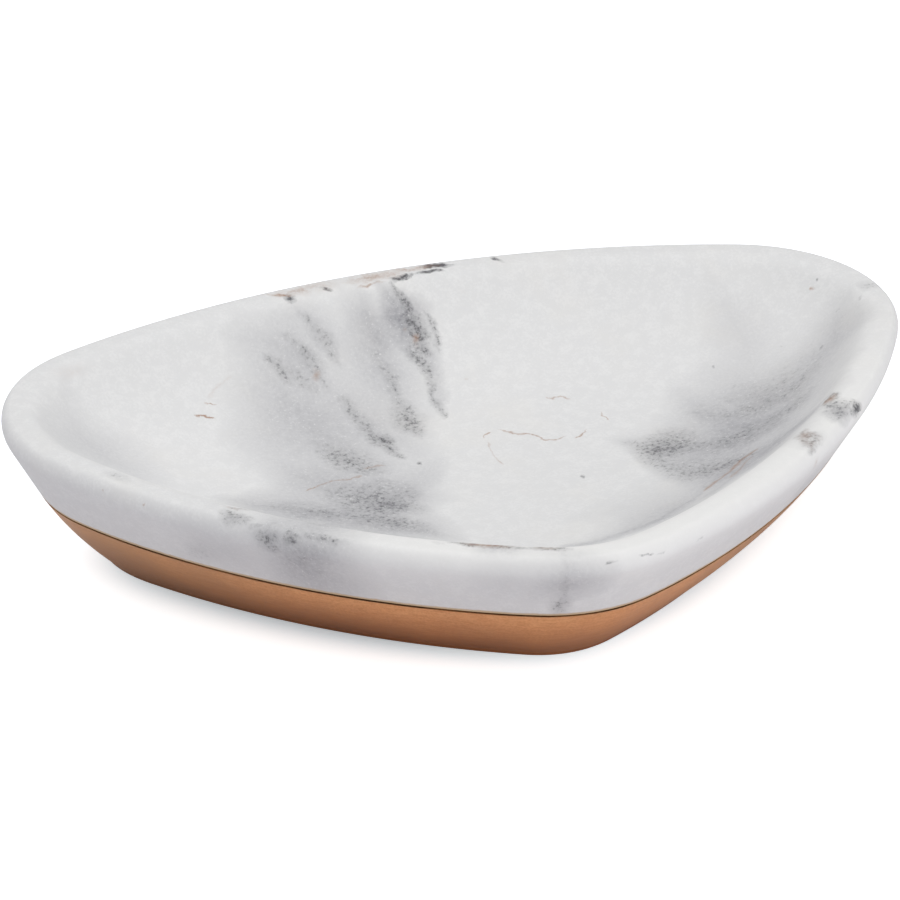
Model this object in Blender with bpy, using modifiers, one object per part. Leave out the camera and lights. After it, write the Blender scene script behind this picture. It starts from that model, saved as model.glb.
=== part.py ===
"""Soap dish: a carved marble bowl bonded into a thin copper cup that stands on three round pads.

Seen from above the dish is a rounded triangle, mirrored across the plane x = 0, with its apex
towards -Y and its long edge at the back. Units are metres, +Z is up, and the origin is at the
middle of the dish, on the surface that it stands on.
"""
import math

import bmesh
import bpy
from mathutils import Vector

# Rim outline: two back corners and an apex, joined by long arcs that touch them
RIM_CORNER_OUT = 0.0457
RIM_CORNER_RADIUS = 0.0243
RIM_APEX_TO_CORNERS = 0.0429
RIM_APEX_RADIUS = 0.0243
RIM_SIDE_RADIUS = 0.1179
RIM_BACK_RADIUS = 0.1529

# Base outline: how far it lies inside the rim, how far its corners lie back of the rim's, its arcs
BASE_IN_AT_CORNERS = 0.0161
BASE_CORNER_BACK = 0.0015
BASE_IN_AT_APEX = 0.0175
BASE_CORNER_RADIUS = 0.0170
BASE_APEX_RADIUS = 0.0132
BASE_SIDE_RADIUS = 0.1278
BASE_BACK_RADIUS = 0.1520

# Outer wall, with heights measured from the underside of the copper cup
DISH_HEIGHT = 0.0249
SEAM_HEIGHT = 0.0126
SEAM_DRAWN_IN = 0.33
WALL_FULLNESS_BELOW_SEAM = 0.35
SHOULDER_WIDTH = 0.0013
SHOULDER_DROP = 0.0020
SHOULDER_ROLL = 0.0014

# Hollow of the bowl
LAND_WIDTH = 0.0017
LIP_RADIUS = 0.0038
LIP_SLOPE = math.radians(48)
BOWL_DEPTH = 0.0145
WALL_BEND_DROP = 0.0100
FLOOR_INSET = 0.0245
FLOOR_CORNER_PULL = 0.0075

# Copper cup
COPPER_WALL = 0.0012
COPPER_FLOOR = 0.0012
COPPER_EDGE_ROUNDING = 0.0009

# Adhesive
BED_THICKNESS = 0.0008
BED_MARGIN = 0.0040
BEAD_THICKNESS = 0.0006
BEAD_HEIGHT = 0.0030

# Pads
PAD_RADIUS = 0.0060
PAD_HEIGHT = 0.0014
PAD_EDGE = 0.0003

# Free space between two pieces that meet
SEAT_GAP = 0.0003

# Fineness of the curved faces
STEPS_AROUND = 72
FLANK_STEPS = 4
WALL_STEPS = 2
ROLL_STEPS = 2
CUP_STEPS = 5
SHOULDER_STEPS = 3
EDGE_STEPS = 2
LIP_STEPS = 3
BOWL_STEPS = 10
PAD_SIDES = 24

TURN = 2 * math.pi
DIRECTIONS = [Vector((math.cos(TURN * step / STEPS_AROUND), math.sin(TURN * step / STEPS_AROUND)))
              for step in range(STEPS_AROUND)]

# Levels above the surface that the dish stands on
UNDERSIDE_Z = PAD_HEIGHT + SEAT_GAP
SEAM_Z = UNDERSIDE_Z + SEAM_HEIGHT
RIM_Z = UNDERSIDE_Z + DISH_HEIGHT
WALL_TOP_Z = RIM_Z - SHOULDER_DROP
ROLL_END_Z = WALL_TOP_Z - SHOULDER_ROLL
CUP_FLOOR_Z = UNDERSIDE_Z + COPPER_FLOOR
CUP_EDGE_Z = SEAM_Z - SEAT_GAP / 2
BED_Z = CUP_FLOOR_Z + SEAT_GAP
STONE_BOTTOM_Z = BED_Z + BED_THICKNESS + SEAT_GAP
STONE_STEP_Z = SEAM_Z + SEAT_GAP / 2
STONE_FLANK_INSET = COPPER_WALL + SEAT_GAP + BEAD_THICKNESS + SEAT_GAP
BOWL_MIDDLE = Vector((0, 0, RIM_Z - BOWL_DEPTH))


def angle_of(vector):
    return math.atan2(vector.y, vector.x)


def long_arc_centre(start, start_radius, end, end_radius, radius):
    """Centre of an arc that holds two corner circles and touches both from outside."""
    start_reach = radius - start_radius
    end_reach = radius - end_radius
    chord = end - start
    along = (start_reach ** 2 - end_reach ** 2 + chord.length_squared) / (2 * chord.length)
    across = math.sqrt(start_reach ** 2 - along ** 2)
    forward = chord.normalized()
    return start + forward * along + Vector((-forward.y, forward.x)) * across


def rounded_triangle(corner, corner_radius, apex, apex_radius, side_radius, back_radius):
    """Points of the outline, one for each of DIRECTIONS, which is its outward normal there."""
    centres = [apex, corner, Vector((-corner.x, corner.y))]
    radii = [apex_radius, corner_radius, corner_radius]
    long_radii = [side_radius, back_radius, side_radius]
    long_centres = [long_arc_centre(centres[i], radii[i], centres[i - 2], radii[i - 2], long_radii[i])
                    for i in range(3)]
    arcs = []
    for i in range(3):
        corner_start = angle_of(centres[i] - long_centres[i - 1])
        corner_end = angle_of(centres[i] - long_centres[i])
        long_end = angle_of(centres[i - 2] - long_centres[i])
        arcs.append((corner_start, corner_end, centres[i], radii[i]))
        arcs.append((corner_end, long_end, long_centres[i], long_radii[i]))
    points = []
    for direction in DIRECTIONS:
        angle = angle_of(direction)
        held = [arc for arc in arcs if (angle - arc[0]) % TURN <= (arc[1] - arc[0]) % TURN]
        _, _, centre, radius = held[0]
        points.append(centre + direction * radius)
    return points


def plan_shift():
    """How far the outline moves along Y so that its box is centred on the origin."""
    back_reach = RIM_BACK_RADIUS - RIM_CORNER_RADIUS
    back = RIM_BACK_RADIUS - math.sqrt(back_reach ** 2 - RIM_CORNER_OUT ** 2)
    front = -RIM_APEX_TO_CORNERS - RIM_APEX_RADIUS
    return -(back + front) / 2


RIM_CORNER = Vector((RIM_CORNER_OUT, plan_shift()))
RIM_APEX = Vector((0, plan_shift() - RIM_APEX_TO_CORNERS))
RIM_OUTLINE = rounded_triangle(RIM_CORNER, RIM_CORNER_RADIUS, RIM_APEX, RIM_APEX_RADIUS,
                               RIM_SIDE_RADIUS, RIM_BACK_RADIUS)

BASE_CORNER = RIM_CORNER + Vector((RIM_CORNER_RADIUS - BASE_IN_AT_CORNERS - BASE_CORNER_RADIUS,
                                   BASE_CORNER_BACK))
BASE_APEX = RIM_APEX - Vector((0, RIM_APEX_RADIUS - BASE_IN_AT_APEX - BASE_APEX_RADIUS))
BASE_OUTLINE = rounded_triangle(BASE_CORNER, BASE_CORNER_RADIUS, BASE_APEX, BASE_APEX_RADIUS,
                                BASE_SIDE_RADIUS, BASE_BACK_RADIUS)

FLOOR_CORNER = RIM_CORNER - RIM_CORNER.normalized() * FLOOR_CORNER_PULL
FLOOR_APEX = RIM_APEX + Vector((0, FLOOR_CORNER_PULL))
FLOOR_OUTLINE = rounded_triangle(FLOOR_CORNER, RIM_CORNER_RADIUS - FLOOR_INSET + FLOOR_CORNER_PULL,
                                 FLOOR_APEX, RIM_APEX_RADIUS - FLOOR_INSET + FLOOR_CORNER_PULL,
                                 RIM_SIDE_RADIUS, RIM_BACK_RADIUS)


def inset(outline, distance):
    return [point - direction * distance for point, direction in zip(outline, DIRECTIONS)]


def blend(outer, inner, share):
    return [a.lerp(b, share) for a, b in zip(outer, inner)]


def ring(outline, height):
    return [Vector((point.x, point.y, height)) for point in outline]


def eased(step, fullness):
    """Quadratic curve from 0 to 1, straight at a fullness of one half."""
    return step * step + 2 * step * (1 - step) * fullness


def rolled(step, turn):
    """Line from 0 to 1 that leaves 0 level and bends to its slope over the first turn."""
    if step < turn:
        return step * step / (turn * (2 - turn))
    return (2 * step - turn) / (2 - turn)


def wall_outline(height):
    """Outside of the dish at a height, drawn in from the rim outline towards the base outline."""
    if height >= SEAM_Z:
        tall = WALL_TOP_Z - SEAM_Z
        share = SEAM_DRAWN_IN * rolled((WALL_TOP_Z - height) / tall, SHOULDER_ROLL / tall)
    else:
        down = (SEAM_Z - height) / (SEAM_Z - UNDERSIDE_Z)
        share = SEAM_DRAWN_IN + (1 - SEAM_DRAWN_IN) * eased(down, WALL_FULLNESS_BELOW_SEAM)
    return blend(RIM_OUTLINE, BASE_OUTLINE, share)


def wall_rings(low, high, steps, depth=0):
    """Rings up the outer wall, or parallel to it at a depth, from one height to another."""
    heights = [low + (high - low) * step / steps for step in range(steps + 1)]
    return [ring(inset(wall_outline(height), depth), height) for height in heights]


def shoulder_rings():
    """Quarter ellipse from the top of the outer wall to the land."""
    rings = []
    for step in range(1, SHOULDER_STEPS + 1):
        angle = math.pi / 2 * step / SHOULDER_STEPS
        outline = inset(RIM_OUTLINE, SHOULDER_WIDTH * (1 - math.cos(angle)))
        rings.append(ring(outline, WALL_TOP_Z + SHOULDER_DROP * math.sin(angle)))
    return rings


def cubic(start, start_aim, end_aim, end, step):
    """Point on a smooth curve that leaves the start and reaches the end by way of two aims."""
    rest = 1 - step
    return (start * rest ** 3 + start_aim * 3 * rest ** 2 * step
            + end_aim * 3 * rest * step ** 2 + end * step ** 3)


def bowl_rings():
    """Land, rounded lip and dished hollow, from the shoulder to just short of the middle."""
    land = SHOULDER_WIDTH + LAND_WIDTH
    rings = [ring(inset(RIM_OUTLINE, land), RIM_Z)]
    for step in range(1, LIP_STEPS + 1):
        slope = LIP_SLOPE * step / LIP_STEPS
        outline = inset(RIM_OUTLINE, land + LIP_RADIUS * math.sin(slope))
        rings.append(ring(outline, RIM_Z - LIP_RADIUS * (1 - math.cos(slope))))

    lip_inset = land + LIP_RADIUS * math.sin(LIP_SLOPE)
    lip_z = RIM_Z - LIP_RADIUS * (1 - math.cos(LIP_SLOPE))
    bend_inset = lip_inset + WALL_BEND_DROP / math.tan(LIP_SLOPE)
    lip = ring(inset(RIM_OUTLINE, lip_inset), lip_z)
    bend = ring(inset(RIM_OUTLINE, bend_inset), lip_z - WALL_BEND_DROP)
    floor = ring(FLOOR_OUTLINE, RIM_Z - BOWL_DEPTH)
    for step in range(1, BOWL_STEPS):
        rings.append([cubic(*points, BOWL_MIDDLE, step / BOWL_STEPS) for points in zip(lip, bend, floor)])
    return rings


def material(name, colour, metallic, roughness):
    made = bpy.data.materials.new(name)
    made.use_nodes = True
    shader = made.node_tree.nodes["Principled BSDF"]
    shader.inputs["Base Color"].default_value = (*colour, 1)
    shader.inputs["Metallic"].default_value = metallic
    shader.inputs["Roughness"].default_value = roughness
    made.diffuse_color = (*colour, 1)
    return made


def place(piece, collection, finish):
    """Put a piece in the dish's collection alone, with its finish and smooth shading."""
    for home in piece.users_collection:
        home.objects.unlink(piece)
    collection.objects.link(piece)
    piece.data.materials.append(finish)
    piece.data.shade_smooth()
    piece.data.set_sharp_from_angle(angle=math.radians(30))


def loft(name, rings, middle=None, closed=False):
    """Skin over rings, capped flat at both ends, drawn to a middle point, or closed on itself."""
    mesh = bmesh.new()
    loops = [[mesh.verts.new(point) for point in points] for points in rings]
    pairs = list(zip(loops, loops[1:]))
    if closed:
        pairs.append((loops[-1], loops[0]))
    else:
        mesh.faces.new(reversed(loops[0]))
    for lower, upper in pairs:
        for i in range(STEPS_AROUND):
            mesh.faces.new((lower[i - 1], lower[i], upper[i], upper[i - 1]))
    if middle is not None:
        pole = mesh.verts.new(middle)
        for i in range(STEPS_AROUND):
            mesh.faces.new((loops[-1][i - 1], loops[-1][i], pole))
    elif not closed:
        mesh.faces.new(loops[-1])
    data = bpy.data.meshes.new(name)
    mesh.to_mesh(data)
    mesh.free()
    return bpy.data.objects.new(name, data)


def marble_dish(collection):
    """Stone bowl whose lower part steps in, to nest inside the copper cup."""
    rings = wall_rings(STONE_BOTTOM_Z, STONE_STEP_Z, FLANK_STEPS, STONE_FLANK_INSET)
    rings += wall_rings(STONE_STEP_Z, ROLL_END_Z, WALL_STEPS)
    rings += wall_rings(ROLL_END_Z, WALL_TOP_Z, ROLL_STEPS)[1:]
    rings += shoulder_rings()
    rings += bowl_rings()
    piece = loft("marble_dish", rings, middle=BOWL_MIDDLE)
    place(piece, collection, material("white_marble", (0.78, 0.78, 0.79), 0, 0.42))


def copper_base(collection):
    """Thin cup with a flat underside, flush with the stone at the seam."""
    edge_top = UNDERSIDE_Z + COPPER_EDGE_ROUNDING
    flat_edge = inset(BASE_OUTLINE, COPPER_EDGE_ROUNDING)
    rings = []
    for step in range(EDGE_STEPS):
        angle = math.pi / 2 * step / EDGE_STEPS
        outline = blend(flat_edge, wall_outline(edge_top), math.sin(angle))
        rings.append(ring(outline, edge_top - COPPER_EDGE_ROUNDING * math.cos(angle)))
    rings += wall_rings(edge_top, CUP_EDGE_Z, CUP_STEPS)
    rings += reversed(wall_rings(CUP_FLOOR_Z, CUP_EDGE_Z, CUP_STEPS, COPPER_WALL))
    piece = loft("copper_base", rings)
    place(piece, collection, material("satin_copper", (0.60, 0.30, 0.16), 1, 0.38))


def epoxy_bed(collection, finish):
    """Thin pad of adhesive between the floor of the cup and the underside of the stone."""
    edge = STONE_FLANK_INSET + BED_MARGIN
    rings = wall_rings(BED_Z, BED_Z + BED_THICKNESS, 1, edge)
    place(loft("epoxy_bed", rings), collection, finish)


def epoxy_seam(collection, finish):
    """Bead of adhesive that rings the stone just behind the edge of the cup."""
    outside = COPPER_WALL + SEAT_GAP
    low = CUP_EDGE_Z - BEAD_HEIGHT
    rings = wall_rings(low, CUP_EDGE_Z, 1, outside)
    rings += reversed(wall_rings(low, CUP_EDGE_Z, 1, outside + BEAD_THICKNESS))
    place(loft("epoxy_seam", rings, closed=True), collection, finish)


def pad(name, centre, collection, finish):
    """Round pad with softened edges, under one corner of the cup."""
    bpy.ops.mesh.primitive_cylinder_add(vertices=PAD_SIDES, radius=PAD_RADIUS, depth=PAD_HEIGHT,
                                        location=(centre.x, centre.y, PAD_HEIGHT / 2))
    piece = bpy.context.object
    piece.name = name
    bevel = piece.modifiers.new("softened edges", "BEVEL")
    bevel.width = PAD_EDGE
    bevel.segments = 2
    bevel.limit_method = "ANGLE"
    place(piece, collection, finish)


def main():
    for old in list(bpy.data.objects):
        bpy.data.objects.remove(old, do_unlink=True)
    collection = bpy.data.collections.new("soap_dish")
    bpy.context.scene.collection.children.link(collection)

    marble_dish(collection)
    copper_base(collection)
    adhesive = material("dark_epoxy", (0.09, 0.07, 0.05), 0, 0.5)
    epoxy_bed(collection, adhesive)
    epoxy_seam(collection, adhesive)
    silicone = material("grey_silicone", (0.55, 0.55, 0.54), 0, 0.6)
    pad("pad_left", Vector((-BASE_CORNER.x, BASE_CORNER.y)), collection, silicone)
    pad("pad_right", BASE_CORNER, collection, silicone)
    pad("pad_front", BASE_APEX, collection, silicone)


main()
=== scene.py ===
"""Marble soap dish on a copper base, standing on a white studio floor.

Lengths are metres, +Z is up, and the origin is at the middle of the dish, on the floor.
"""
import math

import bmesh
import bpy
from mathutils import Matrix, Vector


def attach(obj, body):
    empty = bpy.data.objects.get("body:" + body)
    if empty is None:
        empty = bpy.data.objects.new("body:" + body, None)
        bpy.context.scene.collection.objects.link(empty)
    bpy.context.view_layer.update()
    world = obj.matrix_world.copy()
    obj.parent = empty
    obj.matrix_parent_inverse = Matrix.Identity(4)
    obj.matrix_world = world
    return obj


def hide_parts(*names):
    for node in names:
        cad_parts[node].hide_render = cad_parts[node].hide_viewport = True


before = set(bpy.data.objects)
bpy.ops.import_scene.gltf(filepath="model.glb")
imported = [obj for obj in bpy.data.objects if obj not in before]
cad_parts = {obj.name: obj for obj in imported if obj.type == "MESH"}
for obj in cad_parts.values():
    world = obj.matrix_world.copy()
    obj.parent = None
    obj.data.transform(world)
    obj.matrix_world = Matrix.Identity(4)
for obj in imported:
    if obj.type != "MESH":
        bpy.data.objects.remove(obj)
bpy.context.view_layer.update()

MM = 0.001
TURN = 2 * math.pi
QUARTER = math.pi / 2

# Plan outlines, each made of a front apex, two back corners and three long arcs.
# The radii are those of the apex, the corners, the sides and the back.
RIM_CORNER = Vector((45.7, 17.253)) * MM
RIM_APEX = Vector((0, -25.64)) * MM
RIM_RADII = (24.3 * MM, 24.295 * MM, 117.9 * MM, 152.9 * MM)
BASE_CORNER = Vector((36.9, 18.753)) * MM
BASE_APEX = Vector((0, -19.247)) * MM
BASE_RADII = (13.2 * MM, 17 * MM, 127.8 * MM, 152 * MM)

# Levels above the floor
COPPER_BOTTOM = 1.7 * MM
COPPER_FLOOR = 2.9 * MM
STONE_BOTTOM = 4.3 * MM
COPPER_EDGE = 14.2 * MM
SEAM = 14.3 * MM
STONE_EDGE = 14.45 * MM
ROLL_END = 22.7 * MM
WALL_TOP = 24.6 * MM
RIM_TOP = 26.6 * MM

# Outer wall: its share of the way in to the base at the seam, and its bend below that
SEAM_DRAWN_IN = 0.33
FULLNESS_BELOW = 0.35

# Stone: the step that nests in the cup, the rounded rim, and the bowl
STONE_FLANK = 2.4 * MM
STONE_ARRIS = 0.12 * MM
SHOULDER_WIDTH = 1.3 * MM
LAND_WIDTH = 1.7 * MM
LIP_RADIUS = 3.8 * MM
LIP_SLOPE = math.radians(48)
BEND_DROP = 10 * MM
BOWL_DEPTH = 14.5 * MM
FLOOR_PULL = 7.5 * MM
FLOOR_INSET = 24.5 * MM

# Copper cup: thickness, rounding below and rounding of its upper edge
COPPER_WALL = 1.2 * MM
COPPER_ROUNDING = 0.9 * MM
COPPER_ARRIS = 0.15 * MM

# How finely the outlines and the walls are cut, and the sharpest edge that is shaded smooth
STEP_ALONG_RIM = 1.6 * MM
FLANK_STEPS = 6
WALL_STEPS = 10
ROLL_STEPS = 6
ROUND_STEPS = 8
BOWL_STEPS = 42
CUP_STEPS = 20
CUP_INSIDE_STEPS = 8
SMOOTH_ANGLE = math.radians(40)

# Stick-on feet, and how far and how deep each ring of the dish in a sole goes
PAD_RADIUS = 6 * MM
PAD_HEIGHT = 1.4 * MM
PAD_EDGE = 0.25 * MM
PAD_SIDES = 72
PAD_EDGE_STEPS = 4
PAD_SOLE = [(0.8 * MM, 0), (0.5 * MM, 0.12 * MM), (1.0 * MM, 0.1 * MM), (1.5 * MM, 0.05 * MM)]
PAD_PLACES = {"pad_left": (-36.9 * MM, 18.75 * MM), "pad_right": (36.9 * MM, 18.75 * MM),
              "pad_front": (0, -19.25 * MM)}


def towards(angle):
    return Vector((math.cos(angle), math.sin(angle)))


def angle_of(vector):
    return math.atan2(vector.y, vector.x)


def arcs_of(apex, corner, radii):
    """Apex, right corner and left corner arcs, each followed by the long arc after it."""
    apex_radius, corner_radius, side_radius, back_radius = radii
    centres = [apex, corner, Vector((-corner.x, corner.y))]
    tight = [apex_radius, corner_radius, corner_radius]
    long = [side_radius, back_radius, side_radius]
    middles = []
    for i in range(3):
        start, end = centres[i], centres[i - 2]
        start_reach, end_reach = long[i] - tight[i], long[i] - tight[i - 2]
        chord = end - start
        along = (start_reach ** 2 - end_reach ** 2 + chord.length_squared) / (2 * chord.length)
        across = math.sqrt(start_reach ** 2 - along ** 2)
        forward = chord.normalized()
        middles.append(start + forward * along + Vector((-forward.y, forward.x)) * across)
    arcs = []
    for i in range(3):
        begins = angle_of(centres[i] - middles[i - 1])
        ends = angle_of(centres[i] - middles[i])
        arcs.append((begins, (ends - begins) % TURN, centres[i], tight[i]))
        begins, ends = ends, angle_of(centres[i - 2] - middles[i])
        arcs.append((begins, (ends - begins) % TURN, middles[i], long[i]))
    return arcs


def even_normals(arcs):
    """Outward directions that step round an outline in nearly equal lengths."""
    angles = []
    for begins, sweep, _, radius in arcs:
        count = max(2, round(sweep * radius / STEP_ALONG_RIM))
        angles += [begins + sweep * step / count for step in range(count)]
    return angles


def outline(arcs):
    """The point of an outline that faces each of the even directions."""
    points = []
    for angle in ANGLES:
        nearest = min(arcs, key=lambda arc: max((angle - arc[0]) % TURN - arc[1], 0))
        points.append(nearest[2] + towards(angle) * nearest[3])
    return points


RIM_ARCS = arcs_of(RIM_APEX, RIM_CORNER, RIM_RADII)
ANGLES = even_normals(RIM_ARCS)
NORMALS = [towards(angle) for angle in ANGLES]
RIM = outline(RIM_ARCS)
BASE = outline(arcs_of(BASE_APEX, BASE_CORNER, BASE_RADII))
FLOOR_OUTLINE = outline(arcs_of(
    RIM_APEX + Vector((0, FLOOR_PULL)), RIM_CORNER - RIM_CORNER.normalized() * FLOOR_PULL,
    (RIM_RADII[0] - FLOOR_INSET + FLOOR_PULL, RIM_RADII[1] - FLOOR_INSET + FLOOR_PULL,
     RIM_RADII[2], RIM_RADII[3])))


def inset(points, distance):
    return [point - normal * distance for point, normal in zip(points, NORMALS)]


def level(points, height):
    return [Vector((point.x, point.y, height)) for point in points]


def eased(step, fullness):
    """Line from 0 to 1 that is straight at a fullness of a half and sags below that."""
    return step * step + 2 * step * (1 - step) * fullness


def rolled(step, turn):
    """Line from 0 to 1 that leaves 0 level and bends to its slope over the first turn."""
    if step < turn:
        return step * step / (turn * (2 - turn))
    return (2 * step - turn) / (2 - turn)


def wall_plan(height, depth=0.0):
    """Outline of the outer wall at a height, or parallel to it at a depth."""
    if height >= SEAM:
        tall = WALL_TOP - SEAM
        share = SEAM_DRAWN_IN * rolled((WALL_TOP - height) / tall, (WALL_TOP - ROLL_END) / tall)
    else:
        down = (SEAM - height) / (SEAM - COPPER_BOTTOM)
        share = SEAM_DRAWN_IN + (1 - SEAM_DRAWN_IN) * eased(down, FULLNESS_BELOW)
    drawn = [rim.lerp(base, share) for rim, base in zip(RIM, BASE)]
    return inset(drawn, depth)


def walls(low, high, count, depth=0.0):
    heights = [low + (high - low) * step / count for step in range(count + 1)]
    return [level(wall_plan(height, depth), height) for height in heights]


def steps(count):
    return [step / count for step in range(1, count + 1)]


def cap_both_ends():
    """Fills the ring that is still selected, then the first one."""
    bpy.ops.mesh.edge_face_add()
    bpy.ops.mesh.poke()
    bpy.ops.mesh.select_all(action="DESELECT")
    bpy.ops.mesh.select_non_manifold()
    bpy.ops.mesh.edge_face_add()


def leave_edit_mode():
    """Turns the faces outwards, puts the piece's place in its mesh and smooths its shading."""
    bpy.ops.mesh.select_all(action="SELECT")
    bpy.ops.mesh.normals_make_consistent(inside=False)
    bpy.ops.object.mode_set(mode="OBJECT")
    bpy.ops.object.transform_apply(location=True, rotation=True, scale=True)
    bpy.ops.object.shade_smooth_by_angle(angle=SMOOTH_ANGLE)


def lofted(name, rings):
    """A circle laid on the first ring, extruded from ring to ring and closed at both ends."""
    bpy.ops.object.select_all(action="DESELECT")
    bpy.ops.mesh.primitive_circle_add(vertices=len(ANGLES), radius=RIM_CORNER.x)
    piece = bpy.context.object
    piece.name = piece.data.name = name
    bpy.ops.object.mode_set(mode="EDIT")
    bpy.ops.mesh.select_all(action="SELECT")
    mesh = bmesh.from_edit_mesh(piece.data)
    order = mesh.verts.layers.int.new("order")
    mesh.verts.ensure_lookup_table()
    for i, vertex in enumerate(mesh.verts):
        vertex[order] = i
    for number, ring in enumerate(rings):
        if number:
            bpy.ops.mesh.extrude_region_move()
            mesh = bmesh.from_edit_mesh(piece.data)
            order = mesh.verts.layers.int["order"]
        for vertex in mesh.verts:
            if vertex.select:
                vertex.co = ring[vertex[order]]
        bmesh.update_edit_mesh(piece.data)
    cap_both_ends()
    leave_edit_mode()
    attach(piece, "root")
    return piece


def marble_rings():
    """Up the nested flank and the wall, over the rim and down the bowl."""
    rings = walls(STONE_BOTTOM, STONE_EDGE, FLANK_STEPS, STONE_FLANK)
    for turn in (0, 0.5, 1):
        angle = QUARTER * turn
        depth = STONE_ARRIS * (1 - math.sin(angle))
        height = STONE_EDGE + STONE_ARRIS * (1 - math.cos(angle))
        rings.append(level(wall_plan(STONE_EDGE, depth), height))
    rings += walls(STONE_EDGE + STONE_ARRIS * 2, ROLL_END, WALL_STEPS)
    rings += walls(ROLL_END, WALL_TOP, ROLL_STEPS)[1:]
    for step in steps(ROUND_STEPS):
        angle = QUARTER * step
        ring = inset(RIM, SHOULDER_WIDTH * (1 - math.cos(angle)))
        rings.append(level(ring, WALL_TOP + (RIM_TOP - WALL_TOP) * math.sin(angle)))
    land = SHOULDER_WIDTH + LAND_WIDTH
    rings.append(level(inset(RIM, (SHOULDER_WIDTH + land) / 2), RIM_TOP))
    rings.append(level(inset(RIM, land), RIM_TOP))
    for step in steps(ROUND_STEPS):
        slope = LIP_SLOPE * step
        ring = inset(RIM, land + LIP_RADIUS * math.sin(slope))
        rings.append(level(ring, RIM_TOP - LIP_RADIUS * (1 - math.cos(slope))))
    return rings + bowl_rings(rings[-1], land + LIP_RADIUS * math.sin(LIP_SLOPE))


def bowl_rings(lip, lip_inset):
    """Steps along a curve from each point of the lip to the middle of the bowl's floor."""
    bend_inset = lip_inset + BEND_DROP / math.tan(LIP_SLOPE)
    bend = level(inset(RIM, bend_inset), lip[0].z - BEND_DROP)
    floor = level(FLOOR_OUTLINE, RIM_TOP - BOWL_DEPTH)
    middle = Vector((0, 0, RIM_TOP - BOWL_DEPTH))
    rings = []
    for step in steps(BOWL_STEPS)[:-1]:
        rest = 1 - step
        rings.append([
            a * rest ** 3 + b * 3 * rest ** 2 * step + c * 3 * rest * step ** 2 + middle * step ** 3
            for a, b, c in zip(lip, bend, floor)])
    return rings


def copper_rings():
    """Round the lower edge, up the outside, over the upper edge and down to the cup's floor."""
    edge_top = COPPER_BOTTOM + COPPER_ROUNDING
    rings = []
    for turn in (0, 0.25, 0.5, 0.75, 1):
        angle = QUARTER * turn
        start = inset(BASE, COPPER_ROUNDING)
        ring = [a.lerp(b, math.sin(angle)) for a, b in zip(start, wall_plan(edge_top))]
        rings.append(level(ring, COPPER_BOTTOM + COPPER_ROUNDING * (1 - math.cos(angle))))
    rings += walls(edge_top, COPPER_EDGE - COPPER_ARRIS, CUP_STEPS)[1:]
    for turn in (0.33, 0.67, 1):
        angle = QUARTER * turn
        depth = COPPER_ARRIS * (1 - math.cos(angle))
        height = COPPER_EDGE - COPPER_ARRIS * (1 - math.sin(angle))
        rings.append(level(wall_plan(COPPER_EDGE, depth), height))
    rings += reversed(walls(COPPER_FLOOR, COPPER_EDGE, CUP_INSIDE_STEPS, COPPER_WALL))
    return rings


def select_sole(pad):
    """Selects the one large face that looks down."""
    bpy.ops.mesh.select_all(action="DESELECT")
    mesh = bmesh.from_edit_mesh(pad.data)
    for face in mesh.faces:
        face.select_set(face.normal.z < 0 and face.calc_area() > PAD_RADIUS ** 2)
    bmesh.update_edit_mesh(pad.data)


def dimpled_pad(name, x, y):
    """A stick-on foot: a short disc with a rounded edge and a shallow dish in its sole."""
    bpy.ops.object.select_all(action="DESELECT")
    bpy.ops.mesh.primitive_cylinder_add(
        vertices=PAD_SIDES, radius=PAD_RADIUS, depth=PAD_HEIGHT, location=(x, y, PAD_HEIGHT / 2))
    pad = bpy.context.object
    pad.name = pad.data.name = name
    bpy.ops.object.mode_set(mode="EDIT")
    bpy.ops.mesh.select_all(action="SELECT")
    bpy.ops.mesh.bevel(offset=PAD_EDGE, segments=PAD_EDGE_STEPS, affect="EDGES")
    select_sole(pad)
    for width, height in PAD_SOLE:
        bpy.ops.mesh.inset(thickness=width)
        bpy.ops.transform.translate(value=(0, 0, height))
    bpy.ops.mesh.poke()
    leave_edit_mode()
    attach(pad, "root")
    return pad


marble = lofted("marble_bowl", marble_rings())
copper = lofted("copper_cup", copper_rings())
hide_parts("marble_dish")
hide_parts("copper_base")
pads = []
for node, (x, y) in PAD_PLACES.items():
    pad = dimpled_pad(node + "_foot", x, y)
    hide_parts(node)
    pads.append(pad)


class Amount:
    """A node's output that sums can be written with."""

    def __init__(self, finish, socket):
        self.finish = finish
        self.socket = socket

    def __add__(self, other):
        return self.finish.sum("ADD", self, other)

    def __sub__(self, other):
        return self.finish.sum("SUBTRACT", self, other)

    def __rsub__(self, other):
        return self.finish.sum("SUBTRACT", other, self)

    def __mul__(self, other):
        return self.finish.sum("MULTIPLY", self, other)

    __radd__ = __add__
    __rmul__ = __mul__


# A Mix node's colour inputs and output, by number, as its plain inputs have the same names
MIX_FIRST = 6
MIX_SECOND = 7
MIX_RESULT = 2


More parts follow.
